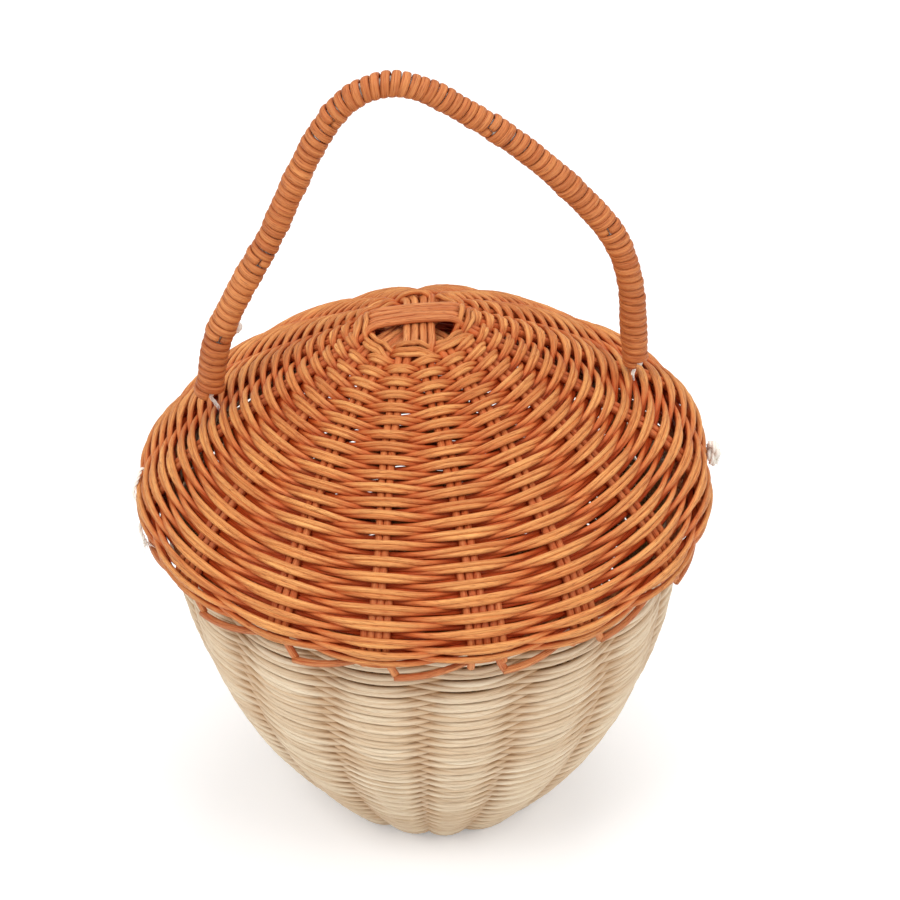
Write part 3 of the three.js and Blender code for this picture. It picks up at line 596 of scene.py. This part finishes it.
# the fourth colour is painted shade, laid on by the depth attribute
dyed_stake = reed_material(
    "dyed stake reed", srgb(232, 127, 60), srgb(250, 184, 118), srgb(146, 44, 10),
    srgb(210, 84, 16), bump=0.6, streaks=0.75, pores=0.7, patches=0.3, tone=0.35, depth=0.8)

for bundle, (angle, level) in BUNDLES.items():
    slip = CROSSING_SLIP if bundle == "along" else 0.0
    for side, sign in (("left", 1), ("right", -1)):
        node = f"lid_spokes_{bundle}_{side}"
        stakes = stake_pair(LID, angle, sign, level, 1, LID.length + PAST_EDGE, rng, slip)
        piece(node + "_reeds", stakes, "lid", dyed_stake, [node])

# Lid, weave. Dyed weaving reeds, two in each row, from the octagon of twined rows
# round the crossing down to the edge. The first twined row is of single reeds.
LID_STRAND, LID_SPACING, LID_TILT = 2.0, 1.55, math.radians(58)
LID_WANDER = 0.16
LID_PITCH, LID_ROW_ZERO, LID_ROWS = 2.61, 20.1, 45
LID_CLOSER = (0, 12, 20, 28, 34, 44), (0, 0.5, 1.1, 2.4, 1.8, 1.0)  # by row, how far it is beaten up
CROWN_TWINED = (18.0, 2.0, False), (21.6, 1.95, True)  # place, thickness, doubled or not
CROWN_BAND, DOME_BAND = 42.0, 96.0  # radii at which the crown's and the dome's nodes end

# the fourth colour is painted shade, laid on by the depth attribute
dyed_weaver = reed_material(
    "dyed weaving reed", srgb(236, 139, 66), srgb(254, 197, 122), srgb(152, 48, 10),
    srgb(198, 66, 6), bump=0.55, streaks=0.62, pores=0.75, patches=0.25, tone=0.3, depth=0.9)

crown_end, dome_end = LID.where(CROWN_BAND), LID.where(DOME_BAND)
lid_rows = {"lid_crown_weave": [], "lid_dome_weave": [], "lid_side_weave": []}
for s0, strand, doubled in CROWN_TWINED:
    lid_rows["lid_crown_weave"] += twined_row(LID, s0, 1, strand, doubled, rng)
for row in range(2, LID_ROWS):  # after the two twined rows
    s0 = LID_ROW_ZERO + row * LID_PITCH - float(np.interp(row, *LID_CLOSER))
    node = "lid_crown_weave" if s0 < crown_end else "lid_dome_weave" if s0 < dome_end else "lid_side_weave"
    out = -1 if row % 2 else 1
    lid_rows[node] += woven_row(LID, s0, out, LID_STRAND, LID_SPACING, LID_TILT, rng, LID_WANDER)
for node, reeds in lid_rows.items():
    piece(node + "_reeds", reeds, "lid", dyed_weaver, [node])

# Lid, border. A last doubled row of dyed reed, slightly thicker than the weave and
# beaten up close to it, ends the side at the edge.
EDGE_STRAND, EDGE_WANDER = LID_STRAND * 1.05, 0.13
EDGE_PLACE = LID_ROW_ZERO + LID_ROWS * LID_PITCH - 0.8

border = woven_row(LID, EDGE_PLACE, -1, EDGE_STRAND, LID_SPACING, LID_TILT, rng, EDGE_WANDER)
piece("lid_border_reeds", border, "lid", dyed_weaver, ["lid_border"])

# Lid, folded stakes. Beside each stake pair a single reed is slipped in. Below the
# border it is creased and laid along the edge to the next pair, where it ends
# behind the border. Some pairs have a further short reed beside them.
EXTRA = 2.8
EXTRA_OFFSET = PAIR_SPACING + EXTRA / 2 + 0.15
FREE_FROM, FREE_OVER = 5, 10  # above the edge the reed comes free of the weave, over this length
FREE_OUT, FREE_DOWN = 2.6, 2.4
CREASE_DROP, CREASE_SLANT = 5.0, 3.8  # the crease, below the edge and aside
LAID_RADIUS, LAID_HEIGHT, LAID_RISE = 105.6, 134.3, 5.0
LAID_BOW, LAID_IN = 0.9, 1.8  # it bows out on its way and ends this far in
LAID_LENGTH, LAID_ROUND = (26, 30), 105  # shortest and longest, and the radius they lie at
MORE_BESIDE = {3: 22, 6: 30, 9: 14, 11: 17, 12: 36, 13: 20, 15: 15}  # pair, and length of its further reed
WIDE_PAIR, WIDE_LENGTH = 12, 25  # this pair has a fourth one


def beside_pair(number, offset, start, stop, slant):
    """A single reed beside a stake pair, by its offset from the pair's middle, slanting at its lower end."""
    s = np.linspace(start, stop, 20)
    r, z = LID.profile(s, WALL_DEPTH)
    free = np.clip((s - LID.length + FREE_FROM) / FREE_OVER, 0, None)
    angle = (number + 0.5) * STEP + (offset + slant * free ** 1.5) / r
    r_free, z_free = r + FREE_OUT * free, z - FREE_DOWN * free
    line = lean_lid(np.stack([r_free * np.cos(angle), r_free * np.sin(angle), z_free], 1))
    # the depth attribute, and the painted shade with it, lessens where the reed comes out below the edge
    reed = {"line": line, "up": LID.outward(angle, s), "radius": EXTRA / 2, "tone": rng.uniform(),
            "flatten": 0.92, "depth": WALL_DEPTH - 1.5 * np.clip((s - LID.length + 3) / 3, 0, 1)}
    return reed, angle[-1]


for k in range(PAIRS):
    start = dome_end + 2 + rng.uniform(-1.5, 3)
    crease = LID.length + CREASE_DROP + rng.uniform(-0.6, 0.6)
    down, fold = beside_pair(k, EXTRA_OFFSET, start, crease, CREASE_SLANT)
    run = np.linspace(0, 1, 10)
    r = LAID_RADIUS + LAID_BOW * np.sin(math.pi * run) - LAID_IN * run
    angle = fold - 0.9 / LAID_ROUND + run * rng.uniform(*LAID_LENGTH) / LAID_ROUND
    z = LAID_HEIGHT + rng.uniform(-0.4, 0.4) + LAID_RISE * run ** 1.4
    laid = {"line": lean_lid(np.stack([r * np.cos(angle), r * np.sin(angle), z], 1)),
            "up": np.stack([np.cos(angle), np.sin(angle), 0 * angle], 1),
            "radius": EXTRA / 2 * (1 - 0.12 * run), "tone": rng.uniform(), "flatten": 0.9}
    reeds = [down, laid]
    if k in MORE_BESIDE:
        stop = LID.length + rng.uniform(0.3, 2.2)
        reeds.append(beside_pair(k, -EXTRA_OFFSET, LID.length - MORE_BESIDE[k], stop, 0)[0])
    if k == WIDE_PAIR:
        offset = EXTRA_OFFSET + EXTRA + 0.1
        reeds.append(beside_pair(k, offset, LID.length - WIDE_LENGTH, LID.length + 0.8, 0.5)[0])
    node = f"lid_folded_stake_{k + 1:02d}"
    piece(node + "_reed", reeds, "lid", dyed_stake, [node])

# Lid, seat ring. The other stake ends are turned in and rolled round each other
# inside the edge, as the ring with which the lid stands on the bowl's border.
SEAT_REED, SEAT_REEDS, SEAT_TURNS = 2.3, 4, 16
SEAT_WIDTH, SEAT_BOTTOM, SEAT_TOP = 8.0, 142.3, 146.3

seat_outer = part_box("lid_seat_ring")[1][0] / MM
seat = rolled_border(seat_outer - SEAT_WIDTH, seat_outer, SEAT_BOTTOM, SEAT_TOP,
                     SEAT_REEDS, SEAT_TURNS, SEAT_REED, lambda spots: spots, rng)
piece("lid_seat_ring_reeds", seat, "lid", dyed_stake, ["lid_seat_ring"])

# Handle, core. A three-ply cotton rope bent to a lopsided arch. It shows at both
# feet and where one length of cane ends and the next begins; near the first such
# place on the left a loop of it bulges out.
LEFT_FOOT, RIGHT_FOOT = np.array([-79.66, 3.65, 181.36]), np.array([79.25, 17.27, 185.83])
ARCH = (  # along the line between the feet from its middle, and height
    (-75.6, 203), (-66.2, 224), (-55.2, 244), (-45.2, 266.5), (-35.2, 286), (-24.8, 298.2), (-11.8, 302.8),
    (0.2, 300), (14.2, 291.5), (33.7, 277.4), (54.2, 257.8), (69.7, 238), (76.2, 219), (78, 203))
CORE_PLY, CORE_LAY, CORE_PAST = 1.4, 14, 1.6  # radius of a ply, length of a twist, reach past each foot
CORE_STEP = 0.5  # from one point of the line to the next
BULGE_PLACE, BULGE_PLY, BULGE_LAY = 28.6, 0.75, 6
BULGE = (  # forward, outward and upward from the core's middle
    (-0.8, -3.0, -2.2), (-1.8, -5.3, -1.6), (-1.6, -6.1, 0), (-0.8, -5.5, 1.4), (0.2, -3.2, 2.2))

along_feet = (RIGHT_FOOT - LEFT_FOOT) * (1, 1, 0)
along_feet /= np.linalg.norm(along_feet)
handle_normal = np.cross(along_feet, (0, 0, 1))
feet_middle = (LEFT_FOOT + RIGHT_FOOT) / 2 * (1, 1, 0)
arch = [feet_middle + a * along_feet + np.array([0, 0, z]) for a, z in ARCH]


def smooth_line(route, step):
    """An even line through the points, rounded between them as a bent cord is."""
    route = [2 * route[0] - route[1]] + list(route) + [2 * route[-1] - route[-2]]
    out = []
    for p0, p1, p2, p3 in zip(route, route[1:], route[2:], route[3:]):
        t1 = math.sqrt(np.linalg.norm(p1 - p0))
        t2 = t1 + math.sqrt(np.linalg.norm(p2 - p1))
        t3 = t2 + math.sqrt(np.linalg.norm(p3 - p2))
        for t in np.linspace(t1, t2, 24, endpoint=False):
            a1 = (t1 - t) / t1 * p0 + t / t1 * p1
            a2 = (t2 - t) / (t2 - t1) * p1 + (t - t1) / (t2 - t1) * p2
            a3 = (t3 - t) / (t3 - t2) * p2 + (t - t2) / (t3 - t2) * p3
            b1 = (t2 - t) / t2 * a1 + t / t2 * a2
            b2 = (t3 - t) / (t3 - t1) * a2 + (t - t1) / (t3 - t1) * a3
            out.append((t2 - t) / (t2 - t1) * b1 + (t - t1) / (t2 - t1) * b2)
    out.append(route[-2])
    out = np.array(out)
    run = np.concatenate([[0], np.cumsum(np.linalg.norm(np.diff(out, axis=0), axis=1))])
    even = np.linspace(0, run[-1], max(2, round(run[-1] / step) + 1))
    return np.stack([np.interp(even, run, out[:, k]) for k in range(3)], 1), even


handle_line, handle_run = smooth_line([LEFT_FOOT] + arch + [RIGHT_FOOT], CORE_STEP)
handle_length = handle_run[-1]
handle_slope = np.gradient(handle_line, handle_run, axis=0)


def on_handle(distance):
    """Centre, direction and cross direction of the handle at distances from its left foot."""
    beyond = distance - np.clip(distance, 0, handle_length)
    centre = np.stack([np.interp(distance, handle_run, handle_line[:, k]) for k in range(3)], -1)
    tangent = unit(np.stack([np.interp(distance, handle_run, handle_slope[:, k]) for k in range(3)], -1))
    return centre + tangent * beyond[..., None], tangent, np.cross(handle_normal, tangent)


def twisted(line, plies, ply, lay, rng, sides=7):
    """Plies wound round each other along a line, as in cotton cord."""
    slope = unit(np.gradient(line, axis=0))
    guide = (0.31, 0.22, 0.92) if abs(slope[:, 2]).mean() < 0.8 else (0.9, 0.3, 0.1)
    a = unit(np.cross(slope, guide))
    b = np.cross(slope, a)
    run = np.concatenate([[0], np.cumsum(np.linalg.norm(np.diff(line, axis=0), axis=1))])
    out = []
    for k in range(plies):
        phase = 2 * math.pi * (run / lay + k / plies)
        outward = a * np.cos(phase)[:, None] + b * np.sin(phase)[:, None]
        out.append({"line": line + outward * ply * 1.16, "up": outward, "radius": ply,
                    "tone": rng.uniform(), "sides": sides})
    return out


cotton = bpy.data.materials.new("cotton")
cotton.use_nodes = True
nodes, links = cotton.node_tree.nodes, cotton.node_tree.links
shader = nodes["Principled BSDF"]
place, fuzz, relief = (nodes.new(kind) for kind in (
    "ShaderNodeTexCoord", "ShaderNodeTexNoise", "ShaderNodeBump"))
links.new(place.outputs["Object"], fuzz.inputs["Vector"])
fuzz.inputs["Scale"].default_value, fuzz.inputs["Detail"].default_value = 1600, 4
shade = mix(nodes, links, srgb(238, 230, 214), srgb(255, 252, 246), fuzz.outputs["Fac"])
links.new(shade, shader.inputs["Base Color"])
shader.inputs["Roughness"].default_value = 0.95
shader.inputs["Specular IOR Level"].default_value = 0.15
shader.inputs["Sheen Weight"].default_value = 0.3
relief.inputs["Strength"].default_value, relief.inputs["Distance"].default_value = 0.6, 0.0004
links.new(fuzz.outputs["Fac"], relief.inputs["Height"])
links.new(relief.outputs["Normal"], shader.inputs["Normal"])

core_line = on_handle(np.linspace(-CORE_PAST, handle_length + CORE_PAST, 420))[0]
core = twisted(core_line, 3, CORE_PLY, CORE_LAY, rng, 9)
joint, _, outwards = (part[0] for part in on_handle(np.array([BULGE_PLACE])))
bulge = [joint + handle_normal * a + outwards * b + np.array([0, 0, c]) for a, b, c in BULGE]
core += twisted(smooth_line(bulge, CORE_STEP)[0], 3, BULGE_PLY, BULGE_LAY, rng)
piece("handle_core_rope", core, "handle", cotton, ["handle_core"])

# Handle, winding. Flat dyed cane in six lengths, wound closely round the rope turn
# by turn. Each length starts a little proud, and its ends are tucked in.
CANE_WIDTH, CANE_THICK, CANE_STEPS = 3.2, 1.8, 26
CANE_TURNS = (8, 11, 19, 20, 19, 19)
CANE_GIRTH = (0, 10, 22, 45, 70, 96), (4.45, 4.3, 3.9, 3.7, 3.9, 4.1)  # by turn, from the left foot
START_PROUD, START_FADE = 0.45, 1.2
KINK_TURN, KINK_PROUD, KINK_FADE = 86.5, 0.4, 5  # one more joint shows here as a step
TUCK_TURNS = 0.15  # over this part of a turn at each end the cane is tucked in
FIRST_TURN = -0.7  # the winding starts this far below the left foot
UNEVEN_PLACE, UNEVEN_HEIGHT, UNEVEN_WIDTH = 0.13, 0.15, 0.05  # from turn to turn

# the fourth colour is painted shade, laid on by the depth attribute
dyed_cane = reed_material(
    "dyed cane", srgb(214, 114, 52), srgb(246, 172, 104), srgb(138, 48, 13),
    srgb(160, 56, 10), bump=0.55, streaks=0.65, pores=0.7, patches=0.3, tone=0.35, depth=1.1)


def by_hand(turn, size):
    """Small changes from turn to turn of one length of cane."""
    each = np.arange(math.floor(turn[0]) - 1, math.ceil(turn[-1]) + 2)
    return size * np.interp(turn, each, rng.normal(size=len(each)))


pitch = (handle_length - 2 * FIRST_TURN) / sum(CANE_TURNS)
done = 0
for number, turns in enumerate(CANE_TURNS):
    turn = np.linspace(done + 0.02, done + turns - 0.02, turns * CANE_STEPS + 1)
    shift, proud = by_hand(turn, UNEVEN_PLACE), by_hand(turn, UNEVEN_HEIGHT)
    centre, _, in_plane = on_handle(FIRST_TURN + turn * pitch + shift)
    start = START_PROUD * np.exp(-(turn - done) / START_FADE)
    kink = KINK_PROUD * np.exp(-(turn - KINK_TURN) / KINK_FADE) * (turn > KINK_TURN)
    girth = np.interp(turn, *CANE_GIRTH) + (start + kink)
    around = 2 * math.pi * turn
    radial = handle_normal * np.cos(around)[:, None] + in_plane * np.sin(around)[:, None]
    tuck = sum(np.clip(1 - away / TUCK_TURNS, 0, 1) ** 2 for away in (turn - turn[0], turn[-1] - turn))
    # a fixed depth lays painted shade on the cane's face towards the rope
    reed = {"line": centre + radial * (girth + proud - tuck)[:, None], "up": radial,
            "radius": CANE_WIDTH * (1 + by_hand(turn, UNEVEN_WIDTH)) / 2, "flatten": CANE_THICK / CANE_WIDTH,
            "square": 0.85, "sides": 12, "tone": rng.uniform(0.2, 0.8), "depth": 1.5}
    node = f"handle_wrap_{number + 1}"
    piece(node + "_cane", [reed], "handle", dyed_cane, [node])
    done += turns

# Left tie cord. Three-ply cotton from the handle's foot down through the dome, along
# the inside and out through the side, where it is a stitch that goes under a row
# halfway and frays out at its end.
CORD_PLY, CORD_LAY, CORD_STEP = 0.36, 7, 0.7
CORD_START = (0, 0, 3.2)  # from a foot down to where its cord begins
LEFT_HOLE = 181.4, 76.3, 77.5  # angle, and the radii at which it goes in and comes out below
LEFT_INSIDE = (-83, 2.5, 160.0), (-92, -2.5, 154.5)
LEFT_STITCH = (  # angle, height, and how far outside the lid's side
    (183, 152, -4), (183.2, 152, -0.6), (185.5, 150.3, 0.1), (188.5, 147.6, 0.7), (191, 145.4, -2.0),
    (193, 143.6, -2.0), (195, 141.8, 0.5), (197.5, 139.6, 0.9))
LEFT_FIBRES = 26, 4.0, 0.3, 0.32  # how many, how long, how thick and how far spread


def on_lid(degrees, s, standoff):
    """A place on the lid, or this far outside its face."""
    angle = np.array([math.radians(degrees)])
    return LID.points(angle, np.array([float(s)]), np.array([-float(standoff)]))[0]


def on_side(degrees, height, standoff):
    """A place on the lid's side by its height, or this far outside."""
    side = LID.run > dome_end
    return on_lid(degrees, np.interp(-height, -LID.outline[side, 1], LID.run[side]), standoff)


def through_dome(degrees, radius, inner):
    """A cord's way through the dome, from one radius at its face to another below it."""
    return [on_lid(degrees, LID.where(radius), -1.2), on_lid(degrees, LID.where(inner), -7)]


def fibres(spot, directions, count, length, thickness, spread, rng):
    """Loose cotton fibres at a cut end."""
    out = []
    for _ in range(count):
        heading = directions[rng.integers(len(directions))] + rng.normal(size=3) * spread
        heading /= np.linalg.norm(heading)
        bend = rng.normal(size=3) * 0.5
        t = np.linspace(0, 1, 6)[:, None]
        reach = length * rng.uniform(0.5, 1.1)
        line = spot + rng.normal(size=3) * 0.35 + heading * t * reach + bend * (t ** 2) * reach * 0.45
        up = np.tile(np.cross(heading, (0.2, 0.5, 0.8)), (6, 1))
        out.append({"line": line, "up": up, "radius": thickness / 2 * (1.1 - 0.7 * t[:, 0]),
                    "tone": rng.uniform(), "sides": 5})
    return out


left_route = [LEFT_FOOT - CORD_START] + through_dome(*LEFT_HOLE)
left_route += [np.array(spot) for spot in LEFT_INSIDE] + [on_side(*spot) for spot in LEFT_STITCH]
left_line, _ = smooth_line(left_route, CORD_STEP)
left_cord = twisted(left_line, 3, CORD_PLY, CORD_LAY, rng)
last_stretch = left_line[-1] - left_line[-6]
last_stretch /= np.linalg.norm(last_stretch)
left_cord += fibres(left_line[-1], [last_stretch], *LEFT_FIBRES, rng)
left_tie = piece("left_tie_cord_cotton", left_cord, None, cotton, ["left_tie_cord"])
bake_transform(left_tie)

# Right tie cord. The same cotton on the same kind of way, but knotted outside the
# side weave, with the knot's cut ends teased out into loose fibres.
RIGHT_HOLE = 6.8, 79.6, 81
RIGHT_INSIDE = (82, 12, 161.0), (92, 8.5, 152.0)
KNOT_ANGLE, KNOT_HEIGHT, KNOT_PLY, KNOT_LAY = 4, 148.8, 0.72, 6
KNOT_DEEP, KNOT_WIDE, KNOT_HIGH = 1.1, 1.5, 2.2  # the knot's turns outward, sideways and upward
KNOT_FIBRES = 60, 4.6, 0.24, 0.34

right_route = [RIGHT_FOOT - CORD_START] + through_dome(*RIGHT_HOLE)
right_route += [np.array(spot) for spot in RIGHT_INSIDE]
right_route += [on_side(KNOT_ANGLE, KNOT_HEIGHT, standoff) for standoff in (-4, 0.8)]
right_line, _ = smooth_line(right_route, CORD_STEP)
right_cord = twisted(right_line, 3, CORD_PLY, CORD_LAY, rng)
knot_centre = on_side(KNOT_ANGLE, KNOT_HEIGHT, 1.2)
out = np.array([math.cos(math.radians(KNOT_ANGLE)), math.sin(math.radians(KNOT_ANGLE)), 0])
side, up = np.array([-out[1], out[0], 0]), np.array([0, 0, 1])
t = np.linspace(0, 2 * math.pi, 60)[:-1, None]
loop = 1.25 + 0.75 * np.cos(3 * t)
knot = (knot_centre + out * (KNOT_DEEP * np.sin(3 * t)) + side * (loop * np.cos(2 * t) * KNOT_WIDE)
        + up * (loop * np.sin(2 * t) * KNOT_HIGH))
right_cord += twisted(knot, 3, KNOT_PLY, KNOT_LAY, rng)
teased = [out * 0.5 + (0, -0.5, -0.5), out * 0.7 + (0, 0, 0.3), np.array([0, -0.3, -1.0])]
right_cord += fibres(knot_centre + out * 0.6 - (0, 0, 1.2), teased, *KNOT_FIBRES, rng)
right_tie = piece("right_tie_cord_cotton", right_cord, None, cotton, ["right_tie_cord"])
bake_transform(right_tie)

# Studio. A white floor and world, soft lights, and the camera at the photograph's
# angle. The floor looks whiter to the camera, the farther from the object the more.
FLOOR_SIZE = 30
LAMPS = {  # place, size and power, in metres and watts
    "key": ((-0.7, -0.7, 1.4), 0.7, 10), "side": ((0.8, -0.6, 1.2), 0.7, 6),
    "front": ((0.1, -1.5, 0.2), 0.9, 2.1), "top": ((0.15, 0.5, 1.7), 1.0, 10)}
LAMP_AIM = np.array([0, 0, 0.15])
SKY_LIGHT = 0.54
ELEVATION, DISTANCE, AIM_HEIGHT = math.radians(36.5), 0.88, 0.131

bpy.ops.object.select_all(action="DESELECT")
bpy.ops.mesh.primitive_plane_add(size=FLOOR_SIZE, location=(0, 0, 0))
floor = bpy.context.object
floor.name = "studio_floor"
white = bpy.data.materials.new("studio white")
white.use_nodes = True
nodes, links = white.node_tree.nodes, white.node_tree.links
shader = nodes["Principled BSDF"]
shader.inputs["Base Color"].default_value = (0.9, 0.9, 0.9, 1)
shader.inputs["Roughness"].default_value = 1
shader.inputs["Specular IOR Level"].default_value = 0
shader.inputs["Emission Color"].default_value = (1, 1, 1, 1)
path, spot, away, far, glow = (nodes.new("ShaderNode" + kind) for kind in (
    "LightPath", "TexCoord", "VectorMath", "MapRange", "Math"))
away.operation, glow.operation = "LENGTH", "MULTIPLY"
far.inputs["From Min"].default_value, far.inputs["From Max"].default_value = 0.5, 2.0
far.inputs["To Min"].default_value, far.inputs["To Max"].default_value = 0.25, 0.7
links.new(spot.outputs["Object"], away.inputs[0])
links.new(away.outputs["Value"], far.inputs["Value"])
links.new(path.outputs["Is Camera Ray"], glow.inputs[0])
links.new(far.outputs["Result"], glow.inputs[1])
links.new(glow.outputs[0], shader.inputs["Emission Strength"])
floor.data.materials.append(white)

world = bpy.data.worlds.new("studio")
bpy.context.scene.world = world
world.use_nodes = True
nodes, links = world.node_tree.nodes, world.node_tree.links
sky = nodes["Background"]
sky.inputs["Color"].default_value = (1, 1, 1, 1)
path, shine = nodes.new("ShaderNodeLightPath"), nodes.new("ShaderNodeMapRange")
shine.inputs["To Min"].default_value, shine.inputs["To Max"].default_value = SKY_LIGHT, 1.0
links.new(path.outputs["Is Camera Ray"], shine.inputs["Value"])
links.new(shine.outputs["Result"], sky.inputs["Strength"])

for name, (place, size, power) in LAMPS.items():
    lamp = bpy.data.lights.new(name, "AREA")
    lamp.size, lamp.energy = size, power
    obj = bpy.data.objects.new(name, lamp)
    obj.location = place
    x, y, z = LAMP_AIM - np.array(place)
    obj.rotation_euler = (math.atan2(math.hypot(x, y), -z), 0, math.atan2(y, x) - math.pi / 2)
    bpy.context.scene.collection.objects.link(obj)

camera = bpy.data.cameras.new("camera")
camera.lens, camera.sensor_width = 91.84, 36
camera.shift_x, camera.shift_y = 26 / 900, 54 / 900  # in pixels of the photograph's 900
eye = bpy.data.objects.new("camera", camera)
eye.location = (0, -DISTANCE * math.cos(ELEVATION), AIM_HEIGHT + DISTANCE * math.sin(ELEVATION))
eye.rotation_euler = (math.pi / 2 - ELEVATION, 0, 0)
bpy.context.scene.collection.objects.link(eye)
bpy.context.scene.camera = eye
bpy.context.scene.view_settings.view_transform = "Standard"
